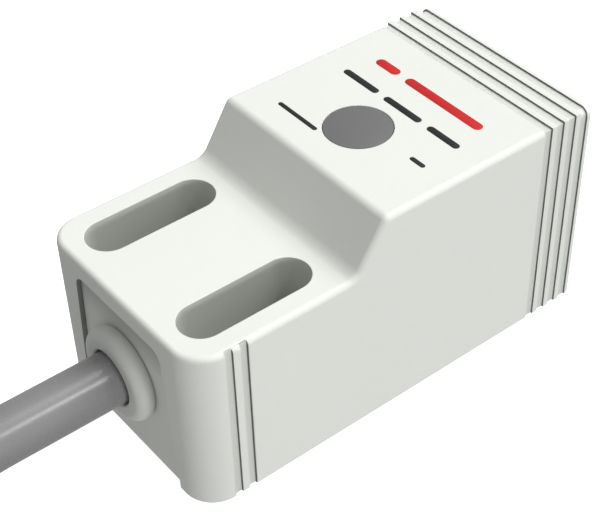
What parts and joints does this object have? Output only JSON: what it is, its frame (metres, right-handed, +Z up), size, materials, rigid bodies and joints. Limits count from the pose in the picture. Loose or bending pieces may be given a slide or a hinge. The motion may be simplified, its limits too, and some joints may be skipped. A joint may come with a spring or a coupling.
{
  "type": "proximity sensor",
  "caption": "Square block inductive proximity sensor with a stepped housing, long mounting slots, a round indicator window, a grooved sensing end and a fixed round cable.",
  "frame": {"origin": "middle of the housing's base, midway between the rear face and the sensing face", "axes": "+X out of the sensing face, away from the cable; +Z up, from the base to the indicator; the body is symmetric about the XZ plane"},
  "size_m": [0.1164, 0.0532, 0.0256],
  "materials": {
    "housing_plastic": "moulded off-white plastic, satin",
    "cover_plastic": "moulded off-white plastic, satin",
    "grommet_plastic": "moulded off-white plastic, satin",
    "window_plastic": "smoked grey light pipe, satin",
    "cable_jacket": "grey flexible PVC, semi-gloss",
    "brown_insulation": "brown PVC insulation",
    "blue_insulation": "blue PVC insulation",
    "black_insulation": "black PVC insulation",
    "board_laminate": "green glass-epoxy laminate",
    "component_epoxy": "black moulded epoxy",
    "capacitor_epoxy": "yellow moulded epoxy",
    "resistor_ceramic": "dark glazed ceramic",
    "led_body": "pale lamp body",
    "holder_plastic": "black moulded plastic",
    "ferrite": "ground ferrite, matt",
    "bobbin_plastic": "natural nylon",
    "enamelled_copper": "enamelled copper wire",
    "shield_brass": "rolled brass strip",
    "crimp_metal": "plated steel",
    "potting_resin": "black potting resin",
    "tie_nylon": "natural nylon"
  },
  "bodies": {
    "root": {"housing": "housing_plastic", "base_cover": "cover_plastic", "cable_grommet": "grommet_plastic", "indicator_window": "window_plastic", "cable_inner_jacket": "cable_jacket", "cable_clamp": "crimp_metal", "resin_plug": "potting_resin", "core_wire_brown": "brown_insulation", "core_wire_blue": "blue_insulation", "core_wire_black": "black_insulation", "circuit_board": "board_laminate", "indicator_led": "led_body", "oscillator_ic": "component_epoxy", "output_transistor": "component_epoxy", "protection_diode": "component_epoxy", "filter_capacitor": "capacitor_epoxy", "resistor_a": "resistor_ceramic", "resistor_b": "resistor_ceramic", "core_holder": "holder_plastic", "ferrite_core": "ferrite", "coil_bobbin": "bobbin_plastic", "coil_winding": "enamelled_copper", "coil_lead_a": "enamelled_copper", "coil_lead_b": "enamelled_copper", "shield_ring": "shield_brass", "cable_run": "cable_jacket", "cable_coil": "cable_jacket", "cable_end": "cable_jacket", "coil_tie": "tie_nylon", "lead_brown": "brown_insulation", "lead_black": "black_insulation", "lead_blue": "blue_insulation"}
  },
  "joints": []
}
